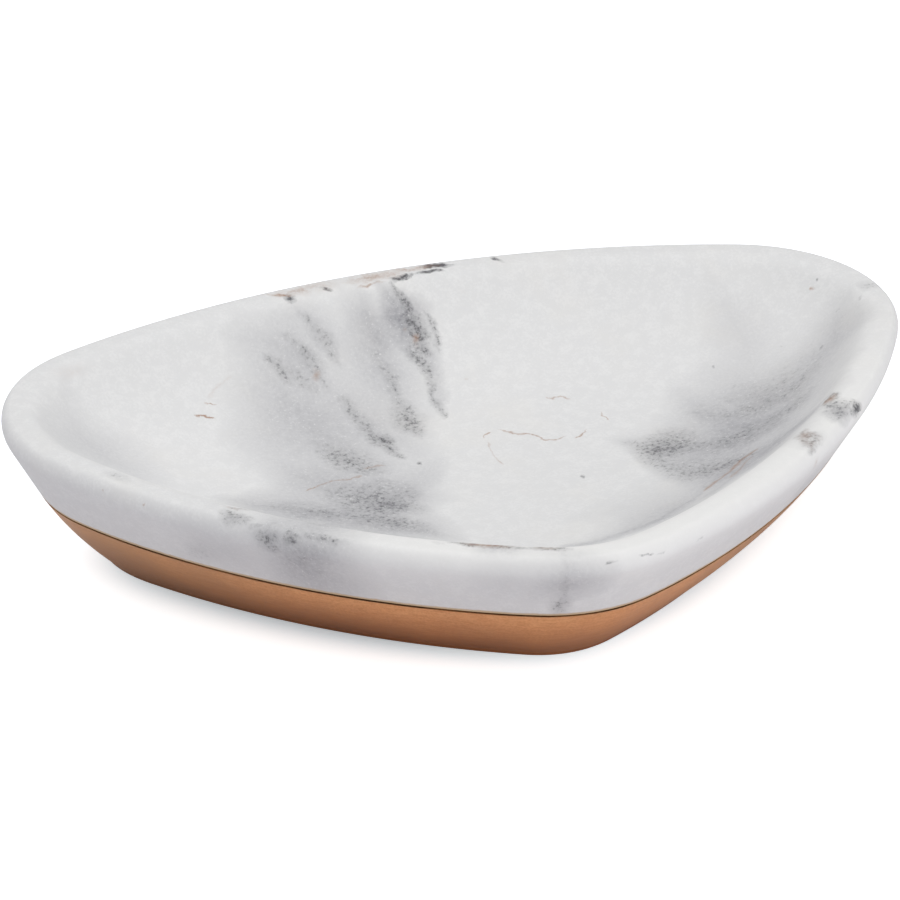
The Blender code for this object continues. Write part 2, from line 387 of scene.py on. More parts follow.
class Finish:
    """The nodes of one material, or of the studio's surroundings."""

    def __init__(self, owner):
        owner.use_nodes = True
        self.owner = owner
        self.nodes = owner.node_tree.nodes
        self.links = owner.node_tree.links

    def node(self, kind, settings=(), values=(), output=0):
        made = self.nodes.new("ShaderNode" + kind)
        for name, setting in dict(settings).items():
            if name == "curve":
                made.mapping.use_clip = False
                points = made.mapping.curves[0].points
                while len(points) < len(setting):
                    points.new(0, 0)
                for point, (along, height) in zip(points, setting):
                    point.location = (along, height)
                made.mapping.update()
            else:
                setattr(made, name, setting)
        for key, value in dict(values).items():
            self.feed(made.inputs[key], value)
        return Amount(self, made.outputs[output])

    def feed(self, socket, value):
        if isinstance(value, Amount):
            self.links.new(value.socket, socket)
        else:
            socket.default_value = value

    def sum(self, operation, *values):
        return self.node("Math", {"operation": operation}, enumerate(values))

    def arrows(self, operation, *values, output=0):
        return self.node("VectorMath", {"operation": operation}, enumerate(values), output)

    def within(self, value, low, high):
        """0 below the low value, 1 above the high one, and eased between them."""
        return self.node("MapRange", {"interpolation_type": "SMOOTHSTEP"},
                         {"Value": value, "From Min": low, "From Max": high})

    def mix(self, share, first, second):
        return self.node("Mix", {"data_type": "RGBA"},
                         {"Factor": share, MIX_FIRST: first, MIX_SECOND: second}, MIX_RESULT)

    def noise(self, place, per_metre, detail, roughness, output="Fac"):
        return self.node("TexNoise", (), {
            "Vector": place, "Scale": per_metre, "Detail": detail, "Roughness": roughness}, output)

    def bump(self, strength, depth, height):
        return self.node("Bump", (), {"Strength": strength, "Distance": depth, "Height": height})

    def shade(self, values):
        for name, value in values.items():
            self.feed(self.nodes["Principled BSDF"].inputs[name], value)


def finish(name):
    return Finish(bpy.data.materials.new(name))


def height_of(surface, place):
    return surface.node("SeparateXYZ", (), {0: place}, "Z")


def side_of(surface, place, direction):
    """1 for the points straight along a direction from the middle, and -1 for those opposite."""
    ray = surface.arrows("NORMALIZE", place)
    return surface.arrows("DOT_PRODUCT", ray, direction, output="Value")


def away_from_base(surface, place):
    """How far a point lies outside the base's outline, seen from above."""
    away = None
    for _, _, middle, radius in arcs_of(BASE_APEX, BASE_CORNER, BASE_RADII)[1::2]:
        reach = surface.arrows("DISTANCE", place, (*middle, 0), output="Value") - radius
        away = surface.sum("SMOOTH_MAX", away, reach, OUTLINE_ROUNDING) if away else reach
    return away


def streak(stone, place, strength, *points):
    """A soft mark along a line seen from above, given as x, y and half width in mm."""
    line = [Vector((x, y)) for x, y, _ in points]
    widths = [width * STREAK_SPREAD for _, _, width in points]
    forward = (line[-1] - line[0]).normalized()
    across = Vector((-forward.y, forward.x))
    scale = strength / max(widths)
    path = [(at.dot(forward), at.dot(across) * scale) for at in line]
    reach = [(along, width * scale) for (along, _), width in zip(path, widths)]
    reach = [(path[0][0] - widths[0], 0)] + reach + [(path[-1][0] + widths[-1], 0)]
    along = stone.arrows("DOT_PRODUCT", place, (*forward / MM, 0), output="Value")
    aside = stone.arrows("DOT_PRODUCT", place, (*across * scale / MM, 0), output="Value")
    away = aside - stone.node("FloatCurve", {"curve": path}, {"Value": along})
    half_width = stone.node("FloatCurve", {"curve": reach}, {"Value": along})
    return half_width - stone.sum("ABSOLUTE", away)


def blotch(stone, place, strength, x, y, z, along, across, tall, heading=0):
    """A soft round mark: where it lies and how far it reaches, in mm."""
    middle = Vector((x, y, z)) * MM
    if heading:
        place = stone.node("VectorRotate", {"rotation_type": "Z_AXIS"}, {
            "Vector": place, "Center": middle, "Angle": -math.radians(heading)})
    spread = Vector((1 / along, 1 / across, 1 / tall)) / MM
    local = stone.arrows("MULTIPLY_ADD", place, spread, [-m * s for m, s in zip(middle, spread)])
    distance = stone.arrows("LENGTH", local, output="Value")
    return stone.sum("MULTIPLY_ADD", distance, -strength, strength)


def together(stone, place, streaks, blotches, blend=0.0):
    """The strongest mark at each point, eased by the blend where soft marks meet."""
    marks = [(streak, numbers) for numbers in streaks] + [(blotch, numbers) for numbers in blotches]
    strongest = "SMOOTH_MAX" if blend else "MAXIMUM"
    whole = None
    for shape, numbers in marks:
        mark = shape(stone, place, *numbers)
        whole = stone.sum(strongest, whole, mark, blend) if whole else mark
    return stone.sum("MAXIMUM", whole, 0)


# Marks in the stone and painted shade on the bowl's inner wall and edge, as seen from above: how
# strong, then points of x, y and half width in mm
SMOKE_AND_SHADE = [
    (0.36, (-5.4, 44.9, 1.4), (-5.2, 42.7, 3.4), (-4.6, 40.3, 5.6), (-4, 37.3, 5),
     (-3.9, 33.9, 3.3)),
    (0.6, (-1.9, 45, 1.4), (-0.9, 43.1, 3.1), (-0.3, 41.2, 5.1), (0, 39.3, 4.2), (0, 36.8, 2.6)),
    (0.26, (-7.3, 43.1, 2.9), (-6.5, 40, 6.1), (-5.8, 35.8, 7.7), (-5.7, 30.5, 7.2),
     (-6, 24.3, 4.3)),
    (0.26, (1.3, 43, 1.4), (2.5, 40, 2.3), (2.5, 36.4, 2.3), (1.9, 31.7, 1.6), (0.8, 25.6, 1)),
    (0.28, (-25.7, 40.2, 2.5), (-21.5, 39.4, 5.2), (-18.4, 38.1, 7), (-16.4, 35.7, 6.4),
     (-15, 32.3, 3.7)),
    (0.22, (-15.1, 42.9, 2.3), (-13.6, 40.8, 3.3), (-12.3, 38.2, 3.4), (-11.8, 35.3, 2)),
    (0.31, (-24.3, 38.8, 5.4), (-22.7, 34.1, 10.2), (-20.5, 28.5, 14), (-17.7, 22, 14.1),
     (-14.3, 16.2, 9.9)),
    (0.25, (-15.3, 35.3, 5.3), (-13.1, 29.8, 8.9), (-10.5, 23.4, 10.4), (-7.9, 17.3, 6.7)),
    (0.34, (-27.8, 18.5, 5.3), (-25, 13.9, 10.3), (-21.2, 10.4, 11.9), (-16.6, 7, 11.3),
     (-11.9, 3.5, 6.8)),
    (0.4, (-22.9, 8.2, 7), (-19.5, 4.5, 11.4), (-15.3, 1, 16.1), (-12.6, -2.8, 6.6)),
    (0.42, (-34.5, 5.6, 7.4), (-28.3, 1.7, 10.1), (-23.1, -1.4, 10.6), (-17.9, -5.5, 9.4),
     (-12.8, -10.5, 5.5)),
    (0.44, (25.8, 6.2, 5.4), (29, 2.7, 10.2), (33.1, -0.7, 13.9), (38.8, -2.7, 15.4),
     (44.3, -2.4, 11.2)),
    (0.38, (36.4, 11.2, 5.3), (42.1, 9.2, 10.9), (47.2, 7.5, 14.4), (52.5, 8.4, 10.4),
     (58, 12.6, 7.5), (61.6, 16.1, 4.7)),
    (0.5, (34.7, 4.3, 8.4), (40.2, 2.5, 16.8), (46, 1.8, 12.4), (51.6, 3.1, 8.4), (58.1, 8.9, 5.7)),
    (0.46, (26.2, -17.7, 5.9), (33.3, -14.1, 11.6), (40.6, -11, 8.6), (46.2, -9.8, 5.2),
     (52.2, -4.3, 3.8)),
    (0.3, (34, 7.4, 6.4), (40.2, 7.5, 11.1), (46.4, 7.8, 14.2), (52, 8.2, 10.7)),
    # Painted shade on the inner wall at the right end of the bowl
    (0.26, (61.8, 19.1, 2.5), (60.9, 15.3, 5.2), (58.9, 11.6, 6.3)),
    (0.12, (48.8, 31.6, 3.6), (49.6, 26.8, 5.8), (48.9, 20.8, 6.3), (46.6, 13.2, 4.7)),
    (0.12, (10.5, -13.1, 3.9), (16.8, -14.1, 7.2), (22.9, -15.5, 9.8), (29.1, -15.3, 7.3)),
    # Painted shade on the inner wall at the left end of the bowl
    (0.17, (-57.1, 29.6, 3.2), (-57.6, 26.4, 5.6), (-56.2, 22.9, 8.7), (-53.4, 19.3, 8.5)),
    # Painted shade: the next three marks darken the front inner edge right of the apex, and the
    # bowl just inside it
    (0.5, (24.3, -22.6, 1.9), (29.7, -19.4, 3), (35.3, -16.2, 4.5), (40.9, -13.4, 5.1),
     (44.9, -13, 4.1), (48.6, -11.6, 2.2)),
    (0.24, (5.2, -21.5, 1.3), (10.1, -22.6, 3.2), (15.9, -21.9, 7.1), (22.4, -19.5, 7.3),
     (27.7, -15.5, 2.9)),
    (0.4, (3.9, -22.5, 1.4), (8.1, -23.7, 1.6), (13.1, -23.9, 2.1), (18.6, -22.8, 2.4),
     (23.7, -20.2, 2.1), (26.7, -18.1, 1.3)),
]
DARK = [
    (0.8, (0.1, 45.5, 0.43), (0.5, 44.3, 0.6), (0.9, 43.3, 0.8), (1.4, 42.3, 1), (1.8, 41.3, 0.7)),
    (0.8, (1, 42.1, 0.6), (1.6, 40.7, 1.6), (2.2, 39.1, 1.8), (2.3, 37.3, 1.6), (1.6, 35.6, 0.9)),
    (0.66, (0.5, 37.3, 0.7), (0.7, 35.6, 1.2), (1.1, 33.9, 1.2), (1.1, 31.3, 0.8),
     (0.9, 28.3, 0.7)),
    (0.46, (3.9, 41.2, 0.32), (4.5, 39.8, 0.6), (4.8, 38, 0.6), (4.4, 36.4, 0.47)),
    (0.1, (2.5, 35.5, 0.7), (3, 33, 1.2), (2.6, 29.6, 1.1), (1.9, 26.7, 0.8)),
    (0.5, (0.9, 28.3, 0.53), (0.9, 26.5, 1.1), (0.7, 24.9, 1), (0.5, 23.2, 0.5)),
    (0.34, (-5.6, 37.2, 0.7), (-4.9, 34.7, 1.2), (-4.8, 31.9, 1.3), (-5.1, 28.7, 0.8)),
    (0.62, (-5.3, 29.2, 0.9), (-4.9, 26.9, 1.9), (-4.7, 24.5, 2.5), (-4.6, 22.2, 2.4),
     (-4.5, 19.8, 1.2)),
    (0.46, (-13.4, 30.6, 0.8), (-12.7, 28, 1.4), (-12, 25.4, 1.6), (-11.7, 22.9, 1.6)),
    (0.85, (-11.9, 23.2, 0.9), (-11.2, 21.5, 1.6), (-10.6, 19.5, 1.9), (-10, 17.3, 1.3),
     (-9, 15, 0.8)),
    (0.42, (-22.9, 38.1, 0.49), (-21.9, 37.3, 1), (-20.9, 36.2, 1.2), (-20, 34.5, 1.1)),
    (0.26, (-20.2, 36.8, 1), (-19.1, 35.3, 1.8), (-17.7, 34, 1.8), (-16.7, 32.2, 1.3)),
    (0.32, (-19.2, 40.6, 0.8), (-17.1, 39.3, 1.5), (-15.8, 37.4, 1.9), (-15, 35.3, 1.7),
     (-14.6, 32.6, 0.9)),
    (0.3, (-15.2, 42.7, 0.6), (-13.9, 41.3, 1.1), (-12.9, 39.8, 1.3), (-12.2, 38.2, 1.2),
     (-11.8, 36.5, 0.7)),
    (0.52, (-20.1, 21.5, 1.2), (-18.7, 18.2, 2.8), (-16.9, 16.1, 3.6), (-14.9, 13.7, 2.9),
     (-13.1, 11.7, 1.4)),
    (0.6, (-23.2, 8.3, 2.7), (-20.6, 5.8, 5.7), (-17.9, 3.6, 7.2), (-15.2, 1.4, 6.9),
     (-13, -0.4, 3.5)),
    (0.46, (-23.8, 1.1, 1.5), (-19.9, -2.2, 3.1), (-16.7, -5.4, 3.6), (-14.4, -8, 2.4),
     (-12.5, -11.4, 1.2)),
    (0.3, (-33.3, 5.4, 1.7), (-29.8, 3.6, 3.4), (-26.5, 1.4, 3.3), (-22.7, -1.1, 2)),
    (0.72, (24.8, 7.8, 1.9), (26.5, 5.8, 4.7), (28.1, 3.7, 6.3), (30.2, 2.6, 5.9),
     (32.3, 1.4, 3.4)),
    (0.36, (31.2, 1.9, 1.8), (34.1, 0.2, 3.1), (37.6, -0.7, 3.9), (41.1, -0.9, 3.8),
     (45, -0.7, 3.2), (49.3, 0.4, 3)),
    (0.5, (25.4, 1.7, 1.6), (26.9, -2.7, 3.1), (29, -7.2, 4.2), (31.9, -9.6, 4.1),
     (35.5, -11, 3.1)),
    (0.28, (36.6, 11.8, 1.6), (40.4, 9.1, 3.6), (44, 7.5, 4.4), (47.9, 6.7, 4.4), (52.2, 7.5, 3.9),
     (56.7, 11.1, 2.3)),
    (0.22, (40.5, 14.2, 1.8), (44.7, 11.8, 3.9), (48.9, 10.9, 4.8), (53.4, 12.4, 4.5),
     (57.8, 14.7, 2)),
    (0.24, (32.1, -2.6, 0.8), (36.2, -3.5, 1.5), (40.6, -3.8, 1.7), (45, -3.8, 1.2)),
]
RUST = [
    (0.95, (-37.3, 29.6, 0.14), (-36.4, 29.6, 0.23), (-35.3, 29.5, 0.25), (-34.2, 29.4, 0.15)),
    (0.6, (-34.5, 31.5, 0.1), (-33.8, 31.5, 0.16), (-33.2, 31.4, 0.18), (-32.6, 31.3, 0.11)),
    (0.26, (-33.6, 32.1, 0.4), (-32.3, 33.1, 0.7), (-30.8, 34.1, 0.6), (-29, 35.3, 0.38)),
    (0.7, (4.2, 16.6, 0.11), (5.1, 17.8, 0.24), (5.8, 18.1, 0.3), (6.5, 17.8, 0.16)),
    (0.62, (7.7, 17.9, 0.16), (8.8, 16.6, 0.28), (10.5, 15.9, 0.31), (11.7, 15, 0.31),
     (13, 13.3, 0.29), (15, 12.5, 0.29), (16.7, 12.8, 0.17)),
    (0.75, (17.5, 12.4, 0.17), (18.4, 12.5, 0.3), (19.3, 13.2, 0.26), (19.9, 14.1, 0.11)),
    (0.34, (4.3, 15.7, 0.13), (4.4, 13.3, 0.22), (4.6, 10.7, 0.23), (4.7, 8.1, 0.14)),
    (0.6, (23.8, 17.5, 0.13), (23.9, 16.6, 0.22), (24, 16, 0.23), (24.1, 15.3, 0.14)),
    (0.5, (17.2, 23.8, 0.14), (18, 23.3, 0.29), (19.2, 23.1, 0.29), (20.3, 22.4, 0.14)),
    (0.5, (-26.5, 9.2, 0.18), (-23.9, 10.6, 0.29), (-21.4, 11.5, 0.29), (-19.2, 11.5, 0.29),
     (-16.7, 12.1, 0.17)),
    (0.45, (-15.3, 13.5, 0.17), (-14.3, 13.7, 0.29), (-13.4, 13.6, 0.29), (-12.5, 13.3, 0.18)),
    (0.6, (26.8, -18.6, 0.39), (30.7, -15.1, 0.59), (34.5, -12, 0.7), (36.6, -10.6, 0.7),
     (38.2, -9.8, 0.48)),
    (0.4, (30.8, -18.2, 0.47), (32.9, -15.9, 0.7), (35, -13.8, 0.7), (36.9, -12.4, 0.4)),
]

# Round marks: how strong, x, y and z, then half sizes along, across and up in mm, then heading
SMOKE_BLOTCHES = [
    (0.24, -6.2, -47.3, 20.7, 1.7, 5, 8.3, -16),
    (0.36, -39.1, -27.7, 21.5, 10.3, 18.9, 21.3, -42),
    (0.24, -35.5, -28, 18, 9.3, 5, 9.8, -40),
    (0.14, -47.8, -17.9, 19.8, 10.6, 5, 9.4, -41),
    (0.3, -5.5, -48.3, 22.1, 9, 5, 6.3, -23),
    (0.1, -13.9, -45.1, 22.3, 8.1, 5, 6, -24),
    (0.26, -14.8, -42.1, 26.6, 5.8, 2.9, 0.8, -26),
    (0.36, -43.4, -25.1, 25.9, 6.5, 5, 3.4),
    (0.26, -35.8, -28.9, 26.6, 5.8, 3.2, 1, -41),
    (0.24, -47.2, -20.1, 26.6, 3.3, 1.6, 1.6, -60),
    (0.4, 48.1, -19.2, 26.6, 3.6, 4.1, 2.1),
    (0.22, 40.4, -25.8, 26.6, 3.1, 4.6, 0.96, -42),
]
DARK_BLOTCHES = [
    (0.45, -45.8, -17.6, 26.5, 2.3, 0.94, 0.8, -26),
    (0.9, -18.6, -39.3, 26.5, 5, 1.4, 0.9, -29),
    (1.1, -12.6, -42.4, 26.5, 4.9, 1.4, 0.9, -26),
    (1, -7.6, -44.7, 26.5, 3.8, 1.4, 0.9, -21),
    (1, 14.5, 0.6, 12.3, 0.52, 0.94, 0.8, -24),
    (0.7, -7.3, 12.4, 12.4, 0.45, 0.75, 0.8, -17),
    (0.8, 61.9, 26, 25.3, 0.4, 0.39, 0.5),
    (0.9, 58.5, 13.9, 20.4, 0.51, 0.7, 0.5, -82),
    (0.5, 65.3, 16, 26.2, 0.36, 0.6, 0.8, -55),
    (0.5, 62.5, 18.5, 23.7, 0.33, 0.37, 0.5),
    (0.6, 44.1, 22.3, 15.5, 0.3, 0.49, 0.8, -25),
    (0.5, 44.6, 16.1, 14.8, 0.37, 0.74, 0.8, -34),
    (0.4, 54, 20.1, 17.9, 0.33, 0.43, 0.8),
    (0.34, 67.5, 18.7, 26.6, 2.7, 2.2, 0.8),
    (1.2, -16.3, 45, 26.5, 1.4, 1.8, 0.8),
    (2, 2.3, 45.9, 26.5, 2.8, 0.8, 0.8, 3),
    (1.8, 6.6, 45.9, 26.5, 3, 0.74, 0.8, 0),
    (2.2, 8.2, 47.7, 26.6, 3.1, 1.1, 0.8, -7),
    (1.3, 17.7, 46.6, 26.6, 1.5, 0.7, 0.8, -48),
    (1, -10.4, 46.3, 26.6, 1.7, 0.56, 0.8, -30),
    (0.62, -47.2, -19.8, 26.6, 3.3, 2, 1.8, -62),
    (0.55, -45.5, -23, 26.1, 1.5, 0.55, 1.3, -37),
    (0.64, -44, -25, 24.5, 2.9, 5, 3, -42),
    (0.8, -41.4, -27.3, 25.5, 1.8, 5, 1.6, -38),
    (0.5, -37.2, -30.2, 26.3, 4.8, 0.82, 1.4, -38),
    (0.36, -36.4, -25.4, 26.1, 4.1, 4.4, 0.8),
    (0.34, -59.4, -2.3, 26.6, 3.2, 1.8, 0.8, -58),
    (0.62, 48, -17.2, 26.6, 2.6, 7.3, 0.8, -5),
    (0.8, 48.8, -13.3, 26.3, 1.7, 2.7, 0.8, -62),
    (1.4, 51.1, -17.5, 25.5, 2.6, 5, 1.4, 29),
    (0.8, 40.4, -26.1, 26.6, 2.1, 4.1, 0.94, -22),
    (0.45, 39.9, -23.8, 26.5, 1.6, 3.4, 0.8, -25),
    (0.8, -0.7, -49.8, 25.3, 1.9, 0.5, 0.3, -3),
    (0.8, 5.7, -49.2, 25.1, 1.3, 0.5, 0.3, 11),
    (0.7, 8, -48.6, 24.9, 1.3, 0.5, 0.3, 17),
    (0.34, 15.4, -45.2, 24.2, 1, 0.5, 0.3, 27),
    (0.46, -5.8, -44.5, 16.1, 2.3, 5, 4.5, -18),
    (0.24, -6.2, -47.3, 20.7, 0.87, 5, 8.1, -15),
    (0.24, -50.6, -12.6, 17.5, 2.7, 5, 5.7, 10),
    (0.22, -39.8, -27.1, 21.5, 7, 5, 6.7, -43),
    (0.22, -13.5, -43.1, 26.6, 2, 1, 0.8, -26),
]
RUST_BLOTCHES = [
    (0.5, -15.6, 34.7, 18, 1.2, 2.1, 1.3, -6),
    (0.6, 1.7, 37.8, 19.5, 0.93, 1.7, 1.3, -9),
    (0.4, 0.2, 39.5, 20.8, 0.78, 0.89, 0.74),
    (0.16, 10.6, 42.8, 24.3, 1.4, 1.1, 1.1),
    (0.12, 13.3, 41.2, 22.9, 2.2, 0.96, 0.95, -10),
    (0.5, -14, 47.1, 26.6, 9.5, 2.5, 0.8, 0),
    (0.6, -1.9, 47.1, 26.6, 7.4, 2.1, 0.8, 2),
    (0.7, 4.4, 47.9, 26.6, 5.7, 1.8, 0.8, -2),
    (0.24, -55, 33.9, 25.9, 10.6, 2.9, 2.6, 17),
    (0.7, 48.4, -13.9, 26.3, 1.6, 2.7, 0.8, -41),
    (0.46, 40.3, -25.1, 26.6, 3.2, 5.4, 0.89, 2),
    (0.65, 60.9, 25.6, 24.2, 0.5, 0.66, 0.6),
    (0.35, 7, 30.7, 15.7, 0.46, 0.43, 0.8),
    (0.16, 18.5, 28.4, 15.3, 1.2, 1.1, 0.8),
    (0.7, -57.9, -9, 25.3, 0.59, 1, 0.5, -53),
    (0.45, -62, -3, 25.2, 0.47, 1, 0.5, -54),
    (0.36, -46.3, -17.3, 26.5, 2.9, 0.91, 0.8, -32),
    (0.34, 40.4, -28.3, 24, 1.4, 1, 2.2, 43),
    (0.7, -15.5, -41, 26.5, 7.3, 1.4, 0.9, -28),
    (0.5, -8.1, -44.4, 26.5, 3.5, 1.4, 0.9, -21),
    (0.75, -3.1, 45.5, 26.3, 3.2, 0.44, 0.8, -1),
    (0.75, -17.5, 46.3, 26.6, 3.8, 0.84, 0.8, -14),
]

# How far the streaks' half widths are spread, and how softly the smoke's marks run together
STREAK_SPREAD = 1.2
SMOKE_BLEND = 0.12

# Colours of the finishes, as linear red, green, blue and alpha
STONE_WHITE = (0.765, 0.765, 0.768, 1)
CRYSTAL_WHITE = (0.86, 0.86, 0.86, 1)
STONE_CREAM = (0.80, 0.785, 0.76, 1)
HIGHLIGHT_WHITE = (0.90, 0.895, 0.88, 1)
SMOKE_AND_SHADE_GREY = (0.335, 0.333, 0.358, 1)
SLATE_GREY = (0.155, 0.153, 0.166, 1)
GRANULE_BLACK = (0.06, 0.06, 0.065, 1)
RUST_BROWN = (0.34, 0.17, 0.085, 1)
EDGE_GOLD = (0.62, 0.45, 0.26, 1)
COPPER_DEEP = (0.78, 0.385, 0.172, 1)
COPPER_BRIGHT = (0.95, 0.55, 0.275, 1)
COPPER_FOOT_SHADE = (0.34, 0.125, 0.040, 1)
COPPER_SIDE_SHADE = (0.45, 0.27, 0.155, 1)
COPPER_EDGE_DARK = (0.20, 0.115, 0.06, 1)
EPOXY_DARK = (0.12, 0.07, 0.035, 1)
EPOXY_LIGHT = (0.34, 0.21, 0.11, 1)
SILICONE_CLEAN = (0.62, 0.63, 0.64, 1)
SILICONE_DUSTY = (0.50, 0.49, 0.47, 1)
PAPER_WHITE = (0.81, 0.803, 0.845, 1)
PAPER_SHADE = (0.795, 0.788, 0.83, 1)

# Noise in the finishes: waves to the metre, layers of finer waves, and how rough they are
DRIFT_NOISE = (230, 4, 0.62)
CLOUD_NOISE = (70, 3, 0.6)
MOTTLE_NOISE = (520, 4, 0.7)
GRAIN_NOISE = (2300, 2, 0.7)
CLUMP_NOISE = (1500, 3, 0.7)
SPECKLE_NOISE = (2600, 2, 0.6)
PATINA_NOISE = (110, 4, 0.6)
BRUSH_NOISE = (380, 3, 0.55)
LUMP_NOISE = (900, 3, 0.6)
DUST_NOISE = (700, 4, 0.65)
FIBRE_NOISE = (400, 3, 0.6)
CRYSTALS_PER_METRE = 1500
BRUSH_STRETCH = (1, 1, 7)

# Where a pattern or a mark sets in, and where it is whole. Granules and flecks keep to a band
# of the dark marks and of the smoke too.
CRYSTAL_BAND = (0.44, 0.62)
CREAM_BAND = (0.45, 0.75)
HIGHLIGHT_BAND = (0, 0.6)
GRANULE_BAND = (0.56, 0.84)
GRANULE_DARK = (0.03, 0.35)
FLECK_BAND = (0.60, 0.74)
FLECK_SMOKE = (0.05, 0.3)
RUST_BAND = (0.05, 0.85)
GLINT_BAND = (0.86, 0.93)
COPPER_BAND = (0.30, 0.70)
BRIGHT_BAND = (0.1, 0.9)
LUMP_BAND = (0.35, 0.65)
DUST_BAND = (0.4, 0.7)
GLOW_BAND = (-0.3, 0.7)

# The most that a layer hides of what lies under it
CRYSTAL_COVER = 0.5
CREAM_COVER = 0.35
HIGHLIGHT_COVER = 0.6
GRANULE_COVER = 0.72
FLECK_COVER = 0.5
RUST_COVER = 0.8
GOLD_EDGE_COVER = 0.95
FOOT_SHADE_COVER = 0.75
SIDE_SHADE_COVER = 0.6

# Lengths in the finishes: how far the stone's marks wander, how blunt the base's corners are
# taken to be, the overhang outside the base, the heights of the painted highlight on the front,
# how far the gold band reaches up the stone's edge, how far up and down the copper's painted
# foot shade wanders, and the depths of the bumps
DRIFT = 3.2 * MM
OUTLINE_ROUNDING = 40 * MM
OVERHANG = (2 * MM, 5 * MM)
HIGHLIGHT_HEIGHTS = (19 * MM, 25 * MM)
GOLD_EDGE_REACH = 0.5 * MM
FOOT_SHADE_WANDER = 3 * MM
STONE_BUMP = 0.05 * MM
COPPER_BUMP = 0.04 * MM
EPOXY_BUMP = 0.1 * MM
SILICONE_BUMP = 0.05 * MM

# Sides of the dish that a finish or a glow is told apart by
HIGHLIGHT_SIDE = (0.35, -0.94, 0)
COPPER_FRONT = (-0.32, -0.95, 0)
GLOW_SIDE = Vector((0.5, -0.87, 0)).normalized()

# Light: softboxes by azimuth, elevation and power, and the glow of the white room
LAMP_SIZE = 0.9
LAMP_DISTANCE = 1.3
LAMPS = [("front_high", 0, 55, 5.2), ("back_high", 180, 55, 1.7), ("left_high", 240, 55, 3.91),
         ("right_low", 50, 20, 3.6), ("front_low", 0, 20, 0.7), ("overhead", 0, 90, 0.49)]
WORLD_LIGHT = (0.352, 0.352, 0.352, 1)
WHITE = (1, 1, 1, 1)
BLACK = (0, 0, 0, 1)
FLOOR_SIZE = 8
FLOOR_GLOW = (0.27, 0.27, 0.27, 1)
FLOOR_GLOW_BEHIND = (0.10, 0.10, 0.10, 1)
FLOOR_GLOW_SEEN = (0.71, 0.745, 0.755, 1)
# The paper's glow gives way to the dish's shadow: inside an oval for what the copper mirrors,
# and close round the base for the eye
SHADOW_SPREAD = (1 / 66 / MM, 1 / 46 / MM, 0)
SHADOW_FADE = (0.95, 1.5)
CONTACT_SHADOW = (-8 * MM, 5 * MM)
CONTACT_GLOW = (0.22, 0.24, 0.255, 1)

# Camera, at the photograph's viewing angle, far off with a long lens; lens and sensor in mm
CAMERA_AT = Vector((-0.4922, -1.3409, 0.7570))
CAMERA_AIM = Vector((-0.0049, 0.0053, 0.0178))
CAMERA_LENS = 432
CAMERA_SENSOR = 36


